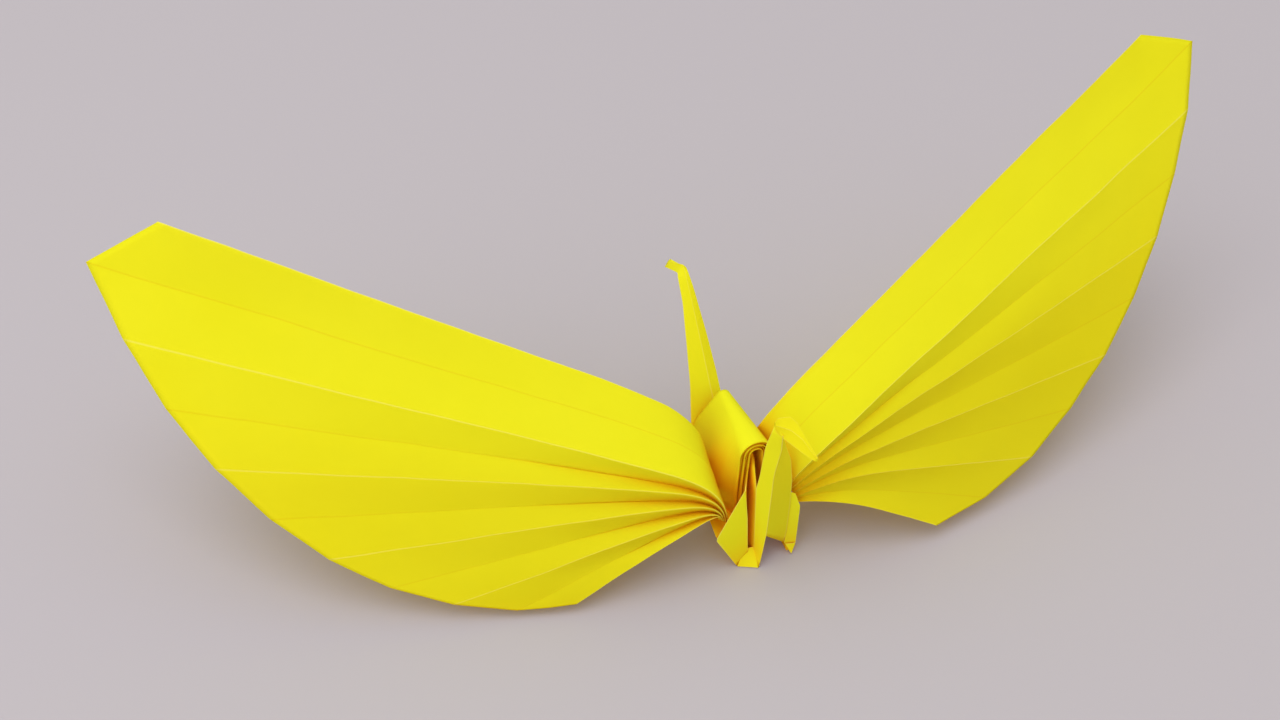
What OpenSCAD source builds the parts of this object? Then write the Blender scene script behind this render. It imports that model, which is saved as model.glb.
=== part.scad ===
// Paper crane folded from one square sheet, with wings pleated into fans.
// X runs across the wings, Y from the tail end to the neck end, Z is up.
// The sheet's diagonal runs along both wings, and every pleat is parallel to it.

/* [Sheet] */
// Side of the square sheet
sheet_side = 210; // [195:1:225]
// Pleats across half of the sheet's diagonal
pleats = 16; // [15:1:18]
// Thickness of the paper, drawn thicker than copy paper so that it holds together
paper_t = 0.3; // [0.2:0.05:0.3]

/* [Wings] */
// Length of the diagonal that half of the body takes up
body_use = 28; // [24:0.5:34]
// Backward sweep of the left wing's creases at the diagonal, third, sixth and ninth crease
left_sweep = [31, 20.5, 10, 6]; // [-10:0.5:45]
// Rise of the left wing's creases at the same four places
left_rise = [15.5, 2, -12, -33]; // [-45:0.5:40]
// Backward sweep of the right wing's creases at the same four places
right_sweep = [25.5, 17.5, 9.5, -0.5]; // [-10:0.5:45]
// Rise of the right wing's creases at the same four places
right_rise = [19.5, 7.5, -9.5, -34.5]; // [-45:0.5:40]
// Backward turn from each crease to the next in the fans behind the wings
rear_turn = 2.2; // [1.6:0.1:3]
// Distance of a wing's root from the middle plane
root_x = 6.2; // [5.5:0.1:7.5]
// Place of a wing's front root along the body
root_y = 0.8; // [0:0.1:2]
// Height of a wing's front root
root_z = 11.4; // [9:0.1:13]
// How far behind the front root the top edge starts
band_back = 13; // [11:0.5:14]
// How far above the front root the top edge starts
band_lift = 4.3; // [2:0.1:6]
// How high the closed pleats stand before they bend outwards
spring_up = 9.7; // [7:0.1:12]
// How far the closed pleats lean in before they bend outwards
spring_in = 3.2; // [2:0.1:4]
// How far the closed pleats lean forward before they bend outwards
spring_forward = 4.5; // [3:0.1:6]
// Length over which the pleats bend from the root into the fan
bend_len = 4; // [3:0.1:6]
// Depth of the closed pleats at the root, as a share of a pleat's width
pleat_depth = 0.75; // [0.6:0.05:0.9]

/* [Body] */
// Height of the saddle's ridge
ridge_z = 24.7; // [23:0.1:28]
// Front end of the saddle's ridge
ridge_front = 4.6; // [3.5:0.1:6]
// Length of the saddle's ridge
ridge_len = 16.3; // [14:0.1:18]
// Rounding of the saddle's ridge
ridge_r = 1.7; // [1.4:0.1:2.2]
// Half width of the saddle at the foot of its legs
leg_x = 3.9; // [3.4:0.1:4.6]
// Height of the foot of the saddle's legs
leg_z = 9; // [8:0.1:10]
// Thickness of the pleats pressed together in the saddle
stack_t = 1.5; // [1.2:0.1:2]
// Half width between the outer edges of the two keels
keel_x = 4.9; // [4.4:0.1:5.6]
// Width of the flat under each keel
keel_w = 2; // [1.5:0.1:2.4]
// Length of each keel
keel_len = 14; // [12:0.5:16]

/* [Points] */
// Height of the ridge of the tail
tail_z = 35.4; // [31:0.1:40]
// Lean of the tail's ridge towards the front
tail_lean = 4; // [2:0.1:6]
// Length of the tail's folded tip
tail_tip_len = 9.5; // [7:0.1:12]
// Height of the crook of the neck
neck_z = 36.6; // [32:0.1:40]
// Place of the crook of the neck behind the front of the keels
neck_y = 40.4; // [36:0.1:45]
// Length of the beak
beak_len = 9.6; // [7:0.1:12]
// Drop of the beak below the level
beak_drop = 25; // [10:1:40]

/* [Hidden] */
half_diagonal = sheet_side / sqrt(2);
pleat_w = half_diagonal / pleats;
wing_len = half_diagonal - body_use;
last_crease = 9;
known_creases = [0, 3, 6, 9];
rows = 18;
row_crowding = 1.7;
columns = 4 * last_crease;
sharpest_mitre = 0.3;
root_cover = 0.9;
heel_z = 1.8;
layer_gap = 1.5 * paper_t;
stack_out = (last_crease - 1) * layer_gap;
front_y = 0.3;
tail_y = -1.4;
front_valley = [0, 0.756, -0.655];
rear_valley = [0, -0.756, -0.655];

function unit(v) = v / norm(v);

// Cubic through the four angles that are given at known_creases
function weight(i, k) =
    let (n = known_creases)
    let (f = [for (j = [0:3]) i == j ? 1 : (k - n[j]) / (n[i] - n[j])])
    f[0] * f[1] * f[2] * f[3];
function angle_at(angles, k) =
    angles[0] * weight(0, k) + angles[1] * weight(1, k) + angles[2] * weight(2, k) + angles[3] * weight(3, k);

function heading(side, sweep, rise) =
    [side * cos(rise) * cos(sweep), cos(rise) * sin(sweep), sin(rise)];

// Start of a crease in the trough beside the body: back is 0 at the front edge and 1 at the top edge
function root_point(side, back) =
    [side * root_x, root_y + back * band_back, root_z + back * band_lift];
function spring_point(side, back) =
    root_point(side, back) + [-side * spring_in, -spring_forward, spring_up];

// Each crease past the first lies outside the one before it
function layer_shift(side, k) = max(k - 1, 0) * layer_gap * [side, 0, 0];

// End of a crease on the sheet's raw edge, which meets every crease at 45 degrees
function front_end(side, sweep, rise, k) =
    spring_point(side, 0)
    + (wing_len - abs(k) * pleat_w) * heading(side, angle_at(sweep, k), angle_at(rise, k));

// The rear fan falls evenly from the top edge until its last crease stands on the ground
function rear_fall(side) =
    asin(min(0.95, (spring_point(side, 1)[2] - heel_z) / (wing_len - last_crease * pleat_w)));
function rear_end(side, sweep, rise, k) =
    let (share = (k - 1) / (last_crease - 1))
    let (fall = angle_at(rise, -1) * (1 - share) - rear_fall(side) * share)
    spring_point(side, share)
    + (wing_len - k * pleat_w) * heading(side, angle_at(sweep, -1) + rear_turn * (k - 1), fall);

// A crease rises from the root, bends outwards and runs straight to its end
function crease_line(root, spring, end, u) =
    spring * (1 - u) + end * u + (root - spring) * exp(-u * norm(end - spring) / bend_len);

// Even creases are valleys: they lie one pleat deep at the root and level out at the raw edge
function valley_depth(k, u) =
    k > 1 && k % 2 == 0 ? pleat_w * pleat_depth * (1 - pow(u, 3)) : 0;

function front_crease(side, sweep, rise, k, u) =
    let (back = k < 1 ? (1 - k) / 2 : 0)
    let (layer = layer_shift(side, k))
    crease_line(root_point(side, back) + layer, spring_point(side, back) + layer,
                front_end(side, sweep, rise, k), u)
    + valley_depth(k, u) * front_valley;

function rear_crease(side, sweep, rise, k, u) =
    k == 1
    ? front_crease(side, sweep, rise, -1, u)
    : let (layer = layer_shift(side, k))
      crease_line(root_point(side, 1) + layer, spring_point(side, 1) + layer,
                  rear_end(side, sweep, rise, k), u)
      + valley_depth(k, u) * rear_valley;

// Creases count from the last of the rear fan, below zero, to the last of the front fan
function crease(side, sweep, rise, c, u) =
    c < -1 ? rear_crease(side, sweep, rise, -c, u) : front_crease(side, sweep, rise, c, u);
function sheet_point(side, sweep, rise, c, u) =
    (crease(side, sweep, rise, floor(c), u) + crease(side, sweep, rise, ceil(c), u)) / 2;

// Points of a wing's sheet: rows run out from the root, closer together near it
function sheet_grid(side, sweep, rise) =
    [for (i = [0:rows])
        [for (j = [0:columns])
            sheet_point(side, sweep, rise, j / 2 - last_crease, pow(i / rows, row_crowding))]];

// Outer limits, so that the part stands with its middle over the origin
wing_ends = [
    for (k = [0:last_crease])
        each [
            front_end(-1, left_sweep, left_rise, k),
            front_end(1, right_sweep, right_rise, k),
            rear_end(-1, left_sweep, left_rise, k),
            rear_end(1, right_sweep, right_rise, k)
        ]
];
low_x = min([for (p = wing_ends) p[0]]);
high_x = max([for (p = wing_ends) p[0]]);
low_y = tail_y - tail_lean - tail_tip_len * 0.69;
high_y = max([for (p = wing_ends) p[1]]);

function strip_normal(grid, i, j) =
    let (low = grid[max(i - 1, 0)])
    let (high = grid[min(i + 1, len(grid) - 1)])
    unit(cross(high[j] + high[j + 1] - low[j] - low[j + 1], grid[i][j + 1] - grid[i][j]));

// Half of the paper's thickness at a grid point, mitred where two faces meet at a crease
function half_thickness(grid, i, j) =
    let (before = strip_normal(grid, i, max(j - 1, 0)))
    let (after = strip_normal(grid, i, min(j, len(grid[0]) - 2)))
    (before + after) / max(1 + before * after, sharpest_mitre) * paper_t / 2;

// Convex block around any corners
module block_of(corners) {
    hull()
        polyhedron(points = corners, faces = [[for (i = [0:len(corners) - 1]) i]]);
}

// A flat panel through three or more corners
module panel(corners) {
    half = unit(cross(corners[1] - corners[0], corners[2] - corners[0])) * paper_t / 2;
    block_of([for (corner = corners, way = [-1, 1]) corner + way * half]);
}

// Thick sheet of paper over a grid of points: two skins, closed around the rim
module sheet(grid) {
    last_row = len(grid) - 1;
    last_column = len(grid[0]) - 1;
    skins = [
        for (way = [1, -1], i = [0:last_row], j = [0:last_column])
            grid[i][j] + way * half_thickness(grid, i, j)
    ];
    line = last_column + 1;
    under = line * (last_row + 1);
    top_faces = [
        for (i = [0:last_row - 1], j = [0:last_column - 1])
            let (n = i * line + j)
            each [[n, n + 1, n + line], [n + 1, n + line + 1, n + line]]
    ];
    under_faces = [for (f = top_faces) [f[0] + under, f[2] + under, f[1] + under]];
    rim = concat(
        [for (j = [0:last_column - 1]) j],
        [for (i = [0:last_row - 1]) i * line + last_column],
        [for (j = [last_column:-1:1]) last_row * line + j],
        [for (i = [last_row:-1:1]) i * line]
    );
    rim_faces = [
        for (n = [0:len(rim) - 1])
            let (a = rim[n])
            let (b = rim[(n + 1) % len(rim)])
            each [[b, a, a + under], [b, a + under, b + under]]
    ];
    polyhedron(points = skins, faces = concat(top_faces, under_faces, rim_faces));
}

module wing(side, sweep, rise) {
    sheet(sheet_grid(side, sweep, rise));
}

// Outline of the saddle seen from the front, inset by d
module arch(d) {
    hull() {
        translate([0, ridge_z - ridge_r])
            circle(ridge_r - d, $fn = 24);
        translate([-leg_x + d, leg_z])
            square([2 * (leg_x - d), 0.01]);
    }
}

module arch_band(d, t, length) {
    translate([0, length, 0])
        rotate([90, 0, 0])
            linear_extrude(length)
                difference() {
                    arch(d);
                    translate([0, -0.02])
                        arch(d + t);
                }
}

// The pleats run over the body as an inverted U, with their edges open at both ends
module saddle() {
    gap = stack_t / 6;
    edge_depth = 1.2;
    difference() {
        translate([0, ridge_front, 0])
            arch_band(0, stack_t, ridge_len);
        for (layer = [1:2], end = [ridge_front - edge_depth, ridge_front + ridge_len - edge_depth])
            translate([0, end, 0])
                arch_band(layer * stack_t / 3 - gap / 2, gap, 2 * edge_depth);
    }
}

// The closed pleats beside the body: a wedge pinched to a narrow flat at the bottom
module keel(side) {
    top_y = root_y + band_back + 1.1;
    top_z = root_z + band_lift;
    corners = [
        [keel_x - keel_w, front_y, 0],
        [keel_x, front_y, 0],
        [keel_x - keel_w, keel_len, 0],
        [keel_x, keel_len, 0],
        [root_x + stack_out + root_cover, front_y, root_z + root_cover],
        [root_x + stack_out + root_cover, top_y, top_z + root_cover],
        [leg_x - 0.7, front_y + 1, leg_z + 4],
        [leg_x - 0.7, keel_len, leg_z + 4]
    ];
    block_of([for (c = corners) [side * c[0], c[1], c[2]]]);
}

// Faces folded flat across the front ends of the keels
module front_plates() {
    left = -keel_x + keel_w;
    panel([
        [-keel_x, 0, 0],
        [-root_x - stack_out, -0.3, root_z - 3],
        [-leg_x + 0.5, 0.3, leg_z + 10],
        [left + 0.2, 0, 3],
        [left + 0.2, 0, 0]
    ]);
    panel([[-keel_x, 0.3, 0.2], [left + 0.9, -1.5, 0.2], [left + 0.3, 0.3, 3.1]]);
    panel([
        [keel_x + 0.1, 0, root_z + 2.2],
        [root_x + 0.9, 0, root_z],
        [root_x + 0.4, 0, 2.5],
        [keel_x + 0.9, 0, 0],
        [keel_x - 0.6, 0, 2.9]
    ]);
}

// One end of the sheet stands up in front of the body as an inverted V, with its tip folded over.
// Each row of these grids holds the left edge, the ridge and the right edge.
module tail() {
    crook = [0, tail_y - tail_lean, tail_z];
    sheet([
        [[-2.2, -0.8, 0.2], [0, -1.8, 8], [5.6, 0.2, 0.5]],
        [[-2, 0, 17], [0, -2.1, 17.5], [5, 0.1, 13.6]],
        [[-2, tail_y + 0.1, tail_z - 8.4], crook + [0, 1.6, -8.2], [4.8, 0, tail_z - 14]],
        [[-1, tail_y - 1.6, tail_z + 0.6], crook, [4, 0, tail_z - 7.6]],
        [crook + [0.6, 2.2, 1.6], crook + [1.2, 0.8, 1.6], crook + [3.2, 2.4, -1.4]]
    ]);
    k = tail_tip_len / 9.5;
    translate(crook)
        sheet([
            [k * [-0.5, 3.9, -0.1], k * [0, 3.4, 1.2], k * [1.5, 3.4, 0.6]],
            [k * [0, 1.7, -0.6], k * [1.5, 1.6, 3.1], k * [4.2, 2.2, 0.2]],
            [k * [1.5, 0.1, -1.6], k * [2, 0, 3.5], k * [4.4, 0.2, -0.2]],
            [k * [2.5, -3.3, -1.4], k * [2.6, -3.5, 2.1], k * [4.2, -2.6, -0.8]],
            [k * [2.8, -6.4, 0.2], k * [3, -6.6, 0.6], k * [3.4, -6.3, 0.2]]
        ]);
}

// The other end of the sheet rises behind the body as a narrow ridge with a folded beak
module neck() {
    base = [0, keel_len - 1, 4];
    crook = [0, neck_y, neck_z];
    tip = crook + beak_len * [0, cos(beak_drop), -sin(beak_drop)];
    ridge = [
        base,
        base + [0, (crook - base)[1] * 0.48, (crook - base)[2] * 0.43],
        base + [0, (crook - base)[1] * 0.76, (crook - base)[2] * 0.66],
        crook,
        crook + [0, 1.4, 0.5],
        tip
    ];
    half_w = [keel_x - 0.6, 2.4, 2, 0.8, 1, 0.3];
    sheet([
        for (i = [0:len(ridge) - 1])
            [ridge[i] + half_w[i] * [-1, 0.9, -0.6], ridge[i], ridge[i] + half_w[i] * [1, 0.12, -0.4]]
    ]);
}

module paper_crane() {
    color("#f4e81c")
        translate([-(low_x + high_x) / 2, -(low_y + high_y) / 2, 0]) {
            wing(-1, left_sweep, left_rise);
            wing(1, right_sweep, right_rise);
            saddle();
            keel(-1);
            keel(1);
            front_plates();
            tail();
            neck();
        }
}

paper_crane();
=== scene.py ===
import math

import bmesh
import bpy
import numpy as np
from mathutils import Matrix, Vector


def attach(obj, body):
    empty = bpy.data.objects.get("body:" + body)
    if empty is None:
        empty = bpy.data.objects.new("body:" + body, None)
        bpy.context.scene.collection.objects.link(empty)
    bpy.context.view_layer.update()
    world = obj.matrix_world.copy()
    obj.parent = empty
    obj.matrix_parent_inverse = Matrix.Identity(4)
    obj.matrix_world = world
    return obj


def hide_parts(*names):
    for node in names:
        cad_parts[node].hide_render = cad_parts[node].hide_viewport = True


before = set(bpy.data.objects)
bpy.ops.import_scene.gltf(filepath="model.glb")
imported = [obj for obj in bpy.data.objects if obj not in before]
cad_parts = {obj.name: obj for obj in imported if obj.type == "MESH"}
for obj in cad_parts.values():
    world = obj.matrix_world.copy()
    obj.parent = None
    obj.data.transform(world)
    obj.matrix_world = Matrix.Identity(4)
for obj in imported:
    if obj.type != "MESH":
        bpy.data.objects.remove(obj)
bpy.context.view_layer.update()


# PAPER
# The crane is one square of copy paper, dyed yellow right through and folded by hand.
# It is matt, lets a little light through, and its yellow deepens where faces light each other.
# Sizes of the crane are in millimetres, and mm turns them into metres.
mm = 0.001


def linear(code):
    """A hex sRGB colour as linear RGBA."""
    parts = [int(code[i:i + 2], 16) / 255 for i in (1, 3, 5)]
    return [c / 12.92 if c <= 0.04045 else ((c + 0.055) / 1.055) ** 2.4 for c in parts] + [1.0]


def add(tree, kind, inputs=None, **settings):
    """Adds a node; an input is a value, a socket, or a node that stands for its first output."""
    node = tree.nodes.new(kind)
    for name, value in settings.items():
        setattr(node, name, value)
    for key, value in (inputs or {}).items():
        if isinstance(value, bpy.types.Node):
            value = value.outputs[0]
        if isinstance(value, bpy.types.NodeSocket):
            tree.links.new(value, node.inputs[key])
        else:
            node.inputs[key].default_value = value
    return node


# The dye changes slowly over the sheet. Real fibres are about 0.03 mm wide, too fine to show,
# so they are drawn coarser.
cloud_width = 16.67
fibre_width = 0.385
fibre_height = 0.04
fibre_strength = 0.15
paper = bpy.data.materials.new("yellow paper")
paper.use_nodes = True
shade = paper.node_tree
shade.nodes.clear()
place = add(shade, "ShaderNodeTexCoord").outputs["Object"]
cloud = add(shade, "ShaderNodeTexNoise", {
    "Vector": place, "Scale": 1 / (cloud_width * mm), "Detail": 3.0})
fibre = add(shade, "ShaderNodeTexNoise", {
    "Vector": place, "Scale": 1 / (fibre_width * mm), "Detail": 4.0})
tint = add(shade, "ShaderNodeMix", {
    "Factor": cloud.outputs["Fac"], "A": linear("#f2f31a"), "B": linear("#f6f724")}, data_type="RGBA")

# A crease that stands out gets a painted pale highlight line, and one that lies inside a painted darker shade
# line.
crease_light_strength = 0.6
crease_light_mark = add(shade, "ShaderNodeAttribute", attribute_name="crease_light_mark").outputs["Fac"]
crease_highlight = add(shade, "ShaderNodeMath", {0: crease_light_mark, 1: crease_light_strength}, operation="MULTIPLY")
crease_shade = add(shade, "ShaderNodeMath", {0: crease_light_mark, 1: -crease_light_strength}, operation="MULTIPLY")
crease_shaded = add(shade, "ShaderNodeMix", {
    "Factor": crease_shade, "A": tint.outputs["Result"], "B": linear("#e2b000")}, data_type="RGBA")
crease_lit_and_shaded = add(shade, "ShaderNodeMix", {
    "Factor": crease_highlight, "A": crease_shaded.outputs["Result"], "B": linear("#fffd78")}, data_type="RGBA")

# In a narrow fold light goes from yellow to yellow, so a golden shade is painted into the colour there, by
# how shut the fold is.
neighbour_distance = 14
folded_shut, wide_open = 0.05, 0.82
open_share = add(shade, "ShaderNodeAmbientOcclusion", {"Distance": neighbour_distance * mm}, samples=8)
opened = add(shade, "ShaderNodeMapRange", {
    "Value": open_share.outputs["AO"], "From Min": folded_shut, "From Max": wide_open})
inside = add(shade, "ShaderNodeNewGeometry").outputs["Backfacing"]
pale = add(shade, "ShaderNodeMath", {0: opened, 1: inside}, operation="MAXIMUM")
golden_shaded = add(shade, "ShaderNodeMix", {
    "Factor": pale, "A": linear("#ffac00"), "B": crease_lit_and_shaded.outputs["Result"]}, data_type="RGBA")

# The surface is matt with a faint fibre grain, and a single layer glows where light is behind it.
grain = add(shade, "ShaderNodeBump", {
    "Height": fibre.outputs["Fac"], "Strength": fibre_strength, "Distance": fibre_height * mm})
face = add(shade, "ShaderNodeBsdfPrincipled", {
    "Base Color": golden_shaded.outputs["Result"], "Roughness": 0.85, "Specular IOR Level": 0.1,
    "Normal": grain})
glow = add(shade, "ShaderNodeBsdfTranslucent", {"Color": linear("#fae400")})
passed = add(shade, "ShaderNodeAttribute", attribute_name="light_through").outputs["Fac"]
both = add(shade, "ShaderNodeMixShader", {0: passed, 1: face, 2: glow})
add(shade, "ShaderNodeOutputMaterial", {"Surface": both})

# One rule makes every face: paper spans from each crease to the next, bows a little between
# them and is given its thickness. The creases come in as the splines of a curve.
rule = bpy.data.node_groups.new("paper between creases", "GeometryNodeTree")
for name, kind in (("Creases", "Geometry"), ("Count", "Int"), ("Rows", "Int"), ("Strips", "Int"),
                   ("Crowding", "Float"), ("Bow", "Float"), ("Thickness", "Float"), ("Sharp", "Bool"),
                   ("Odd crease light", "Float"), ("Light through", "Float"), ("Single layer", "Float"),
                   ("Paper", "Material")):
    rule.interface.new_socket(name, in_out="INPUT", socket_type=f"NodeSocket{kind}")
rule.interface.new_socket("Sheet", in_out="OUTPUT", socket_type="NodeSocketGeometry")
given = add(rule, "NodeGroupInput").outputs

# A flat grid is numbered: along a crease from 0 to 1, and across as a run of crease numbers.
gaps = add(rule, "ShaderNodeMath", {0: given["Count"], 1: 1.0}, operation="SUBTRACT")
columns = add(rule, "ShaderNodeMath", {0: gaps, 1: given["Strips"], 2: 1.0}, operation="MULTIPLY_ADD")
flat = add(rule, "GeometryNodeMeshGrid", {
    "Size X": 1.0, "Size Y": 1.0, "Vertices X": given["Rows"], "Vertices Y": columns})
spot = add(rule, "ShaderNodeSeparateXYZ", {0: add(rule, "GeometryNodeInputPosition")}).outputs
from_root = add(rule, "ShaderNodeMath", {0: spot["X"], 1: 0.5}, operation="ADD", use_clamp=True)
along = add(rule, "ShaderNodeMath", {0: from_root, 1: given["Crowding"]}, operation="POWER")
from_side = add(rule, "ShaderNodeMath", {0: spot["Y"], 1: 0.5}, operation="ADD")
run = add(rule, "ShaderNodeMath", {0: from_side, 1: gaps}, operation="MULTIPLY")

# Each point lies between a first and a second crease. The points crowd towards both of them.
rounding = 0.001
crowd = 0.9
circle = 2 * math.pi
just_past = add(rule, "ShaderNodeMath", {0: run, 1: rounding}, operation="ADD")
in_last_gap = add(rule, "ShaderNodeMath", {0: gaps, 1: 0.5}, operation="SUBTRACT")
within = add(rule, "ShaderNodeMath", {0: just_past, 1: in_last_gap}, operation="MINIMUM")
first = add(rule, "ShaderNodeMath", {0: within}, operation="FLOOR")
second = add(rule, "ShaderNodeMath", {0: first, 1: 1.0}, operation="ADD")
step = add(rule, "ShaderNodeMath", {0: run, 1: first}, operation="SUBTRACT")
step_angle = add(rule, "ShaderNodeMath", {0: step, 1: circle}, operation="MULTIPLY")
step_wave = add(rule, "ShaderNodeMath", {0: step_angle}, operation="SINE")
eased = add(rule, "ShaderNodeMath", {0: step_wave, 1: crowd / circle}, operation="MULTIPLY")
share = add(rule, "ShaderNodeMath", {0: step, 1: eased}, operation="SUBTRACT")
near, far = [add(rule, "GeometryNodeSampleCurve", {
    "Curves": given["Creases"], "Factor": along, "Curve Index": index},
    data_type="FLOAT", mode="FACTOR").outputs for index in (first, second)]
span = add(rule, "ShaderNodeVectorMath", {0: far["Position"], 1: near["Position"]}, operation="SUBTRACT")
part_way = add(rule, "ShaderNodeVectorMath", {0: span, "Scale": share}, operation="SCALE")
straight = add(rule, "ShaderNodeVectorMath", {0: near["Position"], 1: part_way}, operation="ADD")

# Handled paper is never quite flat: creases wander a little and the strips swell either way.
soft_wave = 22.22
waves = add(rule, "ShaderNodeTexNoise", {
    "Vector": straight, "Scale": 1 / (soft_wave * mm), "Detail": 2.5}).outputs
wander = add(rule, "ShaderNodeVectorMath", {0: waves["Color"], 1: (0.5, 0.5, 0.5)}, operation="SUBTRACT")
drift = add(rule, "ShaderNodeVectorMath", {0: wander, "Scale": given["Bow"]}, operation="SCALE")
drifted = add(rule, "ShaderNodeVectorMath", {0: straight, 1: drift}, operation="ADD")
hump_angle = add(rule, "ShaderNodeMath", {0: share, 1: math.pi}, operation="MULTIPLY")
hump = add(rule, "ShaderNodeMath", {0: hump_angle}, operation="SINE")
either_way = add(rule, "ShaderNodeMath", {0: waves["Fac"], 1: 0.5}, operation="SUBTRACT")
swell = add(rule, "ShaderNodeMath", {0: hump, 1: either_way}, operation="MULTIPLY")
lift = add(rule, "ShaderNodeMath", {0: swell, 1: given["Bow"]}, operation="MULTIPLY")
square = add(rule, "ShaderNodeVectorMath", {0: near["Tangent"], 1: span}, operation="CROSS_PRODUCT")
aside = add(rule, "ShaderNodeVectorMath", {0: square}, operation="NORMALIZE")
lifted = add(rule, "ShaderNodeVectorMath", {0: aside, "Scale": lift}, operation="SCALE")
bowed = add(rule, "ShaderNodeVectorMath", {0: drifted, 1: lifted}, operation="ADD")

# Creases are marked with painted light: even ones with a pale highlight line, odd ones with a value of their
# own, where a negative value paints a darker shade line.
crease_width = 0.01
nearest = add(rule, "ShaderNodeMath", {0: run}, operation="ROUND")
at_crease = add(rule, "ShaderNodeMath", {0: run, 1: nearest, 2: crease_width}, operation="COMPARE")
on_crease = add(rule, "ShaderNodeMath", {0: at_crease, 1: given["Sharp"]}, operation="MULTIPLY")
is_odd = add(rule, "ShaderNodeMath", {0: nearest, 1: 2.0}, operation="FLOORED_MODULO")
is_even = add(rule, "ShaderNodeMath", {0: 1.0, 1: is_odd}, operation="SUBTRACT")
either = add(rule, "ShaderNodeMath", {0: is_odd, 1: given["Odd crease light"], 2: is_even},
             operation="MULTIPLY_ADD")
crease_light = add(rule, "ShaderNodeMath", {0: on_crease, 1: either}, operation="MULTIPLY")

# More light passes where the strips part from the middle ones and are a single layer.
layered_until, single_from = 0.8, 3.5
middle = add(rule, "ShaderNodeMath", {0: gaps, 1: 0.5}, operation="MULTIPLY")
to_middle = add(rule, "ShaderNodeMath", {0: run, 1: middle}, operation="SUBTRACT")
from_middle = add(rule, "ShaderNodeMath", {0: to_middle}, operation="ABSOLUTE")
lone = add(rule, "ShaderNodeMapRange", {
    "Value": from_middle, "From Min": layered_until, "From Max": single_from})
passes = add(rule, "ShaderNodeMath", {0: lone, 1: given["Single layer"], 2: given["Light through"]},
             operation="MULTIPLY_ADD")
marked = flat
for name, kind, value in (("crease", "BOOLEAN", on_crease), ("crease_light_mark", "FLOAT", crease_light),
                          ("light_through", "FLOAT", passes)):
    marked = add(rule, "GeometryNodeStoreNamedAttribute", {
        "Geometry": marked, "Name": name, "Value": value}, data_type=kind, domain="POINT")

# The grid is laid over the creases, thickened into a closed sheet and left crisp on each crease.
merge_distance = 0.002
laid = add(rule, "GeometryNodeSetPosition", {"Geometry": marked, "Position": bowed})
raised = add(rule, "GeometryNodeExtrudeMesh", {
    "Mesh": laid, "Offset Scale": given["Thickness"], "Individual": False}, mode="FACES")
backed = add(rule, "GeometryNodeFlipFaces", {"Mesh": laid})
joined = add(rule, "GeometryNodeJoinGeometry")
rule.links.new(raised.outputs["Mesh"], joined.inputs[0])
rule.links.new(backed.outputs["Mesh"], joined.inputs[0])
closed = add(rule, "GeometryNodeMergeByDistance", {"Geometry": joined, "Distance": merge_distance * mm})
smooth = add(rule, "GeometryNodeSetShadeSmooth", {"Geometry": closed})
folds = add(rule, "GeometryNodeInputNamedAttribute", {"Name": "crease"}, data_type="BOOLEAN")
crisp = add(rule, "GeometryNodeSetShadeSmooth", {
    "Geometry": smooth, "Selection": folds.outputs["Attribute"], "Shade Smooth": False}, domain="EDGE")
whole = add(rule, "GeometryNodeRealizeInstances", {"Geometry": crisp})
dyed = add(rule, "GeometryNodeSetMaterial", {"Geometry": whole, "Material": given["Paper"]})
add(rule, "NodeGroupOutput", {"Sheet": dyed})

# Points are given from the table under the front end of the body. The frame starts in the middle
# of the outline, which lies here.
outline_middle = np.array([1.495, 22.073, 0.0])


# On sharp pieces each crease gets a painted highlight line; where odd is negative, odd creases get a painted
# shade line instead.
def fold(name, creases, rows=24, strips=6, crowding=1.0, bow=0.0, thickness=0.12, sharp=True, odd=1.0,
         through=0.15, single=0.0):
    """A paper piece over its crease lines, in millimetres from the front end of the body."""
    line = bpy.data.curves.new(name + " creases", "CURVE")
    line.dimensions = "3D"
    for crease_line in creases:
        points = (np.array(crease_line, float) - outline_middle) * mm
        spline = line.splines.new("POLY")
        spline.points.add(len(points) - 1)
        for point, at in zip(spline.points, points):
            point.co = (*at, 1.0)
    guide = bpy.data.objects.new(name + " creases", line)
    bpy.context.collection.objects.link(guide)
    use = guide.modifiers.new("paper", "NODES")
    use.node_group = rule
    values = {
        "Count": len(creases), "Rows": rows, "Strips": strips, "Crowding": float(crowding),
        "Bow": bow * mm, "Thickness": thickness * mm, "Sharp": sharp, "Odd crease light": odd,
        "Light through": through, "Single layer": single, "Paper": paper}
    for item in rule.interface.items_tree:
        if item.item_type == "SOCKET" and item.in_out == "INPUT" and item.name in values:
            use[item.identifier] = values[item.name]
    ready = guide.evaluated_get(bpy.context.evaluated_depsgraph_get())
    mesh = bpy.data.meshes.new_from_object(ready)
    mesh.name = name
    piece = bpy.data.objects.new(name, mesh)
    bpy.context.collection.objects.link(piece)
    bpy.data.objects.remove(guide)
    bpy.data.curves.remove(line)
    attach(piece, "root")
    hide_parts("paper_crane")


# WINGS
# Each wing is the part of the sheet's diagonal that the body leaves, pleated in even paper strips.
# The strips are pressed together beside the body and opened by hand into a front and a rear fan.
sheet_side = 210
pleats_in_half_diagonal = 16
last_crease = 9
taken_by_body = 28
pleat = sheet_side / math.sqrt(2) / pleats_in_half_diagonal
reach = pleats_in_half_diagonal * pleat - taken_by_body

# Points along a crease, closer together near the root.
crease_points, root_crowding = 60, 1.6
ways = np.linspace(0, 1, crease_points) ** root_crowding

# The rear fan turns back and down until the end of its last crease is just above the table.
heel_height = 1.8
rear_turn = 2.2
rear_depth, rear_flattening = 0.75 * pleat, 3
rear_sink = np.array([0, -0.756, -0.655])

# The front fan's valleys are pressed shut at the root and nearly flat again at the ends.
front_sink = np.array([0, 0.756, -0.655])
end_depth = 0.12
flattening = 1.5
root_press, press_length = 0.6, 8
droop_from = 7


def bend(values, number):
    """Cubic through the four angles known at the diagonal, third, sixth and ninth crease."""
    known = (0, 3, 6, 9)
    return sum(value * math.prod((number - other) / (own - other) for other in known if other != own)
               for value, own in zip(values, known))


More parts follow.
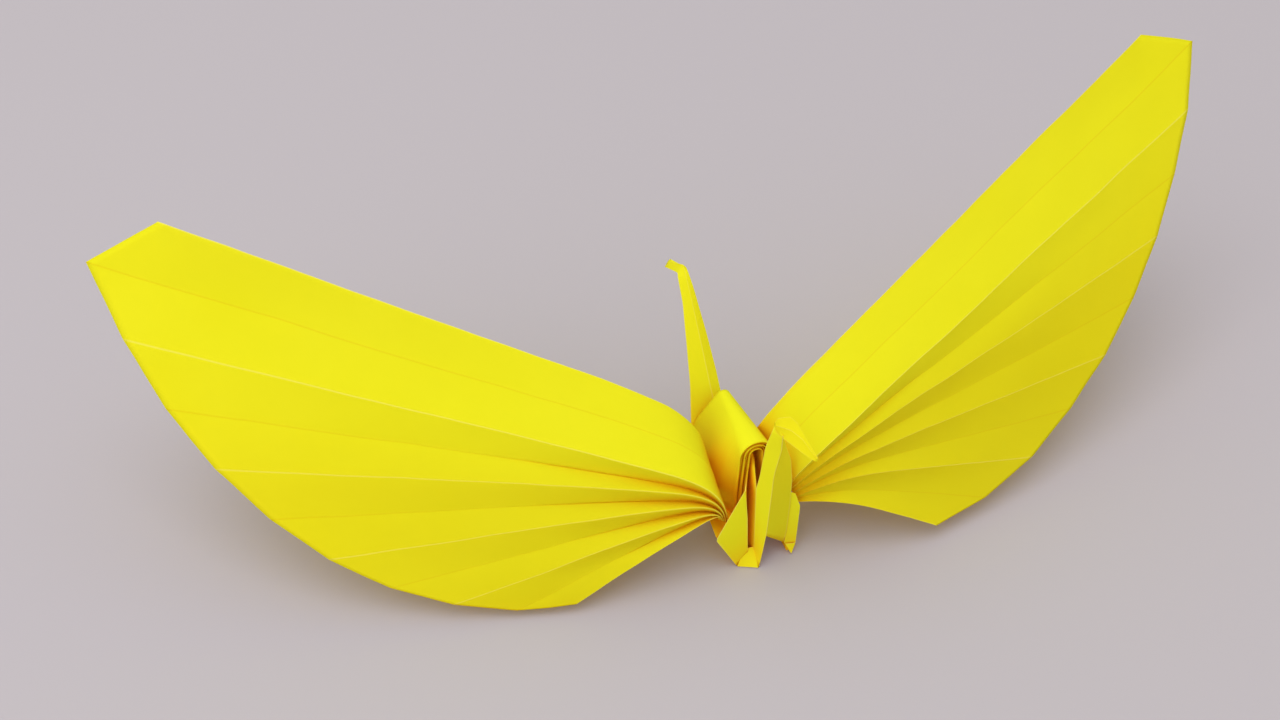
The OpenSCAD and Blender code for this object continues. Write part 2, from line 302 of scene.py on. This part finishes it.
def outward(sweep, rise):
    """Direction out of the body at a sweep backwards and a rise, both in degrees."""
    sweep, rise = math.radians(sweep), math.radians(rise)
    return np.array([math.cos(rise) * math.cos(sweep), math.cos(rise) * math.sin(sweep), math.sin(rise)])


def crease(start, spring, end, bend_length):
    """Rises from the root, bends outwards and runs straight to its end."""
    way = ways[:, None]
    turn = np.exp(-way * np.linalg.norm(end - spring) / bend_length)
    return spring * (1 - way) + end * way + (start - spring) * turn


def open_wing(name, side, root, layer, band, rise_to, settle, droop, bend_length, valley_depth, sweep, rise):
    """Opens a wing; steps are in millimetres as on the right side, and angles in degrees.

    The root is the foot of the first front crease. The band leads from it to the rear creases,
    and each pressed layer is one step on. Creases go up by rise_to and then bend outwards.
    settle moves the bend a little more for each crease, and droop that of the last two.
    """
    root, layer, band = (np.array(step, float) for step in (root, layer, band))
    rise_to, settle, droop = (np.array(step, float) for step in (rise_to, settle, droop))
    lines = []
    for number in range(-last_crease, last_crease + 1):
        out = abs(number)
        layers = max(out - 1, 0)
        valley = out > 1 and out % 2 == 0
        length = reach - out * pleat
        if number < -1:
            part = layers / (last_crease - 1)
            spring = root + band * part + rise_to
            drop = (root + band + rise_to)[2] - heel_height
            heel = math.degrees(math.asin(drop / (reach - last_crease * pleat)))
            fall = bend(rise, -1) * (1 - part) - heel * part
            end = spring + length * outward(bend(sweep, -1) + rear_turn * layers, fall)
            start = root + band + layer * layers
            line = crease(start, start + rise_to, end, bend_length)
            line += valley * rear_depth * (1 - ways[:, None] ** rear_flattening) * rear_sink
        else:
            start = root + band * ((1 - number) / 2 if number < 1 else 0) + layer * layers
            end = root + rise_to + length * outward(bend(sweep, number), bend(rise, number))
            spring = start + rise_to + settle * (number + 1) + droop * max(number - droop_from, 0)
            line = crease(start, spring, end, bend_length)
            open_up = end_depth + (1 - end_depth) * (1 - ways) ** flattening
            open_up *= 1 - root_press * np.exp(-ways * reach / press_length)
            line += valley * valley_depth * open_up[:, None] * front_sink
        lines.append(line * [side, 1, 1])
    # Outward creases get a painted highlight line and valley creases a painted shade line.
    fold(name, lines, rows=90, strips=8, crowding=1.3, bow=0.9, odd=-0.45, through=0.28, single=0.18)


# Each wing was opened by hand, so its root, its bend and its angles are its own.
open_wing("left_wing", side=-1, root=(6.2, 1.1, 10.9), layer=(0.2, 0, 0.2), band=(0.2, 11.3, 5.6),
          rise_to=(-2.9, -3.2, 10.2), settle=(0, 0.16, -0.48), droop=(0, 0, 0.2), bend_length=4.5,
          valley_depth=0.32 * pleat, sweep=(32, 21.7, 11, 3), rise=(14.6, 1.2, -12.8, -30.5))
open_wing("right_wing", side=1, root=(5.2, 1.4, 16.4), layer=(0.23, 0, -0.63), band=(-2.6, 10, 4.8),
          rise_to=(-2.3, -6.6, 9.7), settle=(0.5, 0.3, -0.17), droop=(0, 0, -1.3), bend_length=5.2,
          valley_depth=0.22 * pleat, sweep=(26.3, 18.2, 9.8, -1.4), rise=(16.6, 4.5, -12.5, -38))


# BODY
# The middle of the sheet runs over the body as paper pleats pressed together, bent into an
# inverted U. Their raw edges show as thin lines at both ends, and the legs go into the keels.
layer_count = 5
layer_step = 0.4
uneven_end = 0.3
front_end, back_end = 4.6, 20.6
ridge_height, ridge_drop = 25.3, 1.4
arc_radius, arc_narrowing = 3.0, 1.8
shut_inset = 2.6
half_width, right_narrowing, left_flare, flare_rate = 3.3, 0.9, 4.7, 6
foot_height, right_foot_rise, left_foot_rise = 10.5, 3.5, 4
tuck_in, tuck_down = 0.3, 7
section_count, arc_points = 7, 19
for layer in range(layer_count):
    inset = layer_step * layer
    sections = []
    section_from, section_to = front_end + uneven_end * (layer % 2), back_end - uneven_end * layer
    for y in np.linspace(section_from, section_to, section_count):
        back = (y - front_end) / (back_end - front_end)
        flare = 1 - math.exp(-flare_rate * back)
        ridge = ridge_height - ridge_drop * back - inset
        arc = (arc_radius - arc_narrowing * back) * (1 - inset / shut_inset)
        right = half_width - right_narrowing * back - inset
        left = half_width + left_flare * flare - inset
        right_foot = foot_height + right_foot_rise * back
        left_foot = foot_height + left_foot_rise * flare
        shape = [(right - tuck_in, y, right_foot - tuck_down), (right, y, right_foot)]
        lean = math.atan2(left - arc, ridge - arc - left_foot)
        for turn in np.linspace(0, math.pi - lean, arc_points):
            shape.append((arc * math.cos(turn), y, ridge - arc * (1 - math.sin(turn))))
        sections.append(shape + [(-left, y, left_foot), (tuck_in - left, y, left_foot - tuck_down)])
    fold(f"body_layer_{layer}", list(zip(*sections)), rows=24, strips=1, thickness=0.14, sharp=False,
         through=0.2)


# KEELS
# Below each wing's root the closed pleats are pinched to a narrow edge that the crane stands on.
# They are many layers of the same paper pressed flat, so each keel is a thin wedge.
keel_front, keel_back = 0.5, 14
shoulder_front, shoulder_back = (0.5, 8.8), (13, 13.5)
under_arch, arch_front, arch_back = 3.6, (2, 8), (14, 10)
for name, side, inner, width, outer in (("left_keel", -1, 2.9, 1.4, 8.8), ("right_keel", 1, 5.3, 0.8, 6.9)):
    corners = [(inner, keel_front, 0), (inner + width, keel_front, 0),
               (inner, keel_back, 0), (inner + width, keel_back, 0),
               (outer, *shoulder_front), (outer, *shoulder_back),
               (under_arch, *arch_front), (under_arch, *arch_back)]
    made = bmesh.new()
    for x, y, z in corners:
        made.verts.new(Vector((np.array([side * x, y, z]) - outline_middle) * mm))
    bmesh.ops.convex_hull(made, input=made.verts)
    wedge = bpy.data.meshes.new("keel")
    made.to_mesh(wedge)
    made.free()
    wedge.materials.append(paper)
    keel = bpy.data.objects.new(name, wedge)
    bpy.context.collection.objects.link(keel)
    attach(keel, "root")
    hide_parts("paper_crane")


# FRONT PLATES
# The outer layers of the pinched pleats close the front of the body as flat plates of paper.
# A narrow open slot runs up between the left plate and the tail, and a pinch ends each keel.
left_plate_outer = [(-4.6, 0, 0.1), (-8.95, -0.2, 8.6), (-3.75, 0.2, 18.9)]
left_plate_inner = [(-2.58, 0.1, 3.0), (-3.0, 0.1, 12), (-3.65, 0.2, 18.7)]
fold("left_front_plate", [left_plate_outer, left_plate_inner], bow=0.3)
left_pinch_edge = [(-4.6, -0.1, 0.15), (-1.2, -1.75, 0.2)]
left_pinch_top = [(-3.1, 0.5, 3.6), (-1.2, 0.5, 3.6)]
fold("left_pinch", [left_pinch_edge, left_pinch_top])
slot_left = [(-2.5, 0.3, 2.9), (-3.0, 0.3, 12), (-3.6, 0.4, 18.6), (-1.3, 5.2, 19.5)]
slot_bottom = [(-2.0, 3, 1.5), (-2.0, 3.5, 9), (-1.2, 5.0, 16), (-0.2, 6.6, 22.8)]
slot_right = [(-1.4, 0.1, 2.6), (-1.6, 0.1, 11.1), (-1.8, 0.1, 18.8), (0.4, 6.2, 20.3)]
# The trench's middle crease gets a painted shade line and its two edges a painted highlight line.
fold("front_trench", [slot_left, slot_bottom, slot_right], odd=-0.6)
right_plate_inner = [(5.7, -0.2, 0.2), (4.56, 0.2, 2.6), (5.0, 0.4, 15.5)]
right_plate_outer = [(5.9, -0.1, 0.3), (6.82, 0.2, 1.2), (6.95, 0.2, 5.2), (7.1, 0.2, 11.4), (6.2, 0.6, 14.5)]
fold("right_front_plate", [right_plate_inner, right_plate_outer], bow=0.3)
right_pinch_edge = [(5.7, -0.6, 0.3), (5.75, -0.6, 0.3)]
right_pinch_top = [(4.6, -0.1, 2.7), (6.7, 0, 2.2)]
fold("right_pinch", [right_pinch_edge, right_pinch_top])


# TAIL
# The near corner of the sheet stands up in front of the body, folded to an inverted V of paper.
# Its tip is bent over by hand into a small hood that points forward.
tail_ridge = [(-0.1, -1.8, 8.2), (0, -2.2, 15.8), (0, -3, 24.5), (0.4, -4.2, 31.2), (-0.1, -5.4, 36)]
tail_left_edge = [(-1.25, -1.75, 0.2), (-1.4, 0, 2.6), (-1.6, 0, 11.1), (-1.8, 0, 18.8),
                  (-1.5, -0.6, 22.7), (-1.45, -2, 31.2), (-0.95, -3.5, 36.6)]
tail_foot = (-1, -1.7, 0.2)
fold("tail_left", [tail_left_edge, [tail_foot] + tail_ridge], bow=0.4)
tail_right_edge = [(4.24, 0, 3.2), (4.7, 0, 5.7), (5, 0, 12.9), (4.97, 0, 18.9), (4.2, -0.5, 24.6),
                   (1.3, -3, 32.6)]
fold("tail_right", [tail_ridge, tail_right_edge], bow=0.4, through=0.3)
hood_top = [(-0.76, -3, 37), (-0.35, -3.5, 38.5), (1.56, -4, 38.7), (2.43, -5, 38), (3.75, -11, 34.8)]
hood_fold = [(-0.9, -3.5, 37), (-0.4, -4.4, 37.4), (1.2, -5.6, 37.1), (2.4, -7.6, 36.5), (3.6, -11.1, 34.7)]
hood_edge = [(-1, -3.2, 36.5), (-0.62, -4.5, 35.8), (0.71, -6.5, 35.1), (2.29, -9.5, 34.6), (3.43, -11, 34.2)]
fold("tail_tip", [hood_top, hood_fold, hood_edge], bow=0.3, through=0.4)


# NECK
# The far corner of the sheet rises behind the body as a slim ridge of folded paper.
# Its tip is bent down into the beak.
neck_left_edge = [(-6.6, 16, 12), (-6.2, 20, 17.5), (-4.6, 25, 22.8), (-3.4, 30, 27.3), (-2, 36, 32.7),
                  (-1.7, 39.5, 36), (-1.35, 40.8, 36.3), (-0.9, 48.6, 31.7)]
neck_ridge = [(-1, 14, 11), (-0.9, 24, 21.9), (-0.5, 29.5, 26.6), (-0.2, 35, 31.7), (-0.1, 38.8, 35.4),
              (0, 41.3, 37.4), (-0.35, 48.4, 33.1)]
neck_right_edge = [(1.2, 14, 11), (0.95, 24, 21.2), (1.26, 27, 23.3), (1.28, 33, 28.8), (0.91, 38, 34.1),
                   (0.43, 40.6, 37.1), (0.05, 48.3, 33.6)]
fold("neck", [neck_left_edge, neck_ridge, neck_right_edge], rows=40, bow=0.3, through=0.3)


# TABLE, LIGHT AND CAMERA
# The crane stands on a plain pale table, under one large soft light and a weaker one from the left.
# The room around it is pale too, warm near the table and cooler overhead. Sizes are in metres.
table_width = 6
bpy.ops.mesh.primitive_plane_add(size=table_width)
table = bpy.context.object
table.name = "table"
table_top = bpy.data.materials.new("pale table")
table_top.use_nodes = True
skin = table_top.node_tree.nodes["Principled BSDF"].inputs
skin["Base Color"].default_value = linear("#b7b1b6")
skin["Roughness"].default_value = 0.7
skin["Specular IOR Level"].default_value = 0.2
table.data.materials.append(table_top)

room_strength = 0.9
cool_from = 0.8
world = bpy.data.worlds.new("soft room")
bpy.context.scene.world = world
world.use_nodes = True
sky = world.node_tree
towards = add(sky, "ShaderNodeSeparateXYZ", {0: add(sky, "ShaderNodeTexCoord").outputs["Generated"]})
height = add(sky, "ShaderNodeMapRange", {
    "Value": towards.outputs["Z"], "From Min": 0.0, "From Max": cool_from})
room = add(sky, "ShaderNodeMix", {
    "Factor": height, "A": linear("#ffeed6"), "B": linear("#f2f5fa")}, data_type="RGBA")
sky.links.new(room.outputs["Result"], sky.nodes["Background"].inputs["Color"])
sky.nodes["Background"].inputs["Strength"].default_value = room_strength

lamp_size = 1.0
for name, at, power, hue in (("softbox", (-0.3, -0.2, 1.3), 5.5, "#fffdf8"),
                             ("left fill", (-0.9, -0.5, 0.7), 3.5, "#f8faff")):
    lamp = bpy.data.lights.new(name, "AREA")
    lamp.size = lamp_size
    lamp.energy = power
    lamp.color = linear(hue)[:3]
    hung = bpy.data.objects.new(name, lamp)
    hung.location = at
    hung.rotation_euler = (-Vector(at)).to_track_quat("-Z", "Y").to_euler()
    bpy.context.collection.objects.link(hung)

camera_place = (-0.08963, -0.20416, 0.22623)
camera_back = (-0.2516, -0.7055, 0.6625)
eye = bpy.data.cameras.new("camera")
eye.lens = 46.62
eye.sensor_width = 36
seen = bpy.data.objects.new("camera", eye)
seen.location = camera_place
seen.rotation_euler = Vector(camera_back).to_track_quat("Z", "Y").to_euler()
bpy.context.collection.objects.link(seen)
bpy.context.scene.camera = seen
bpy.context.scene.view_settings.view_transform = "Standard"
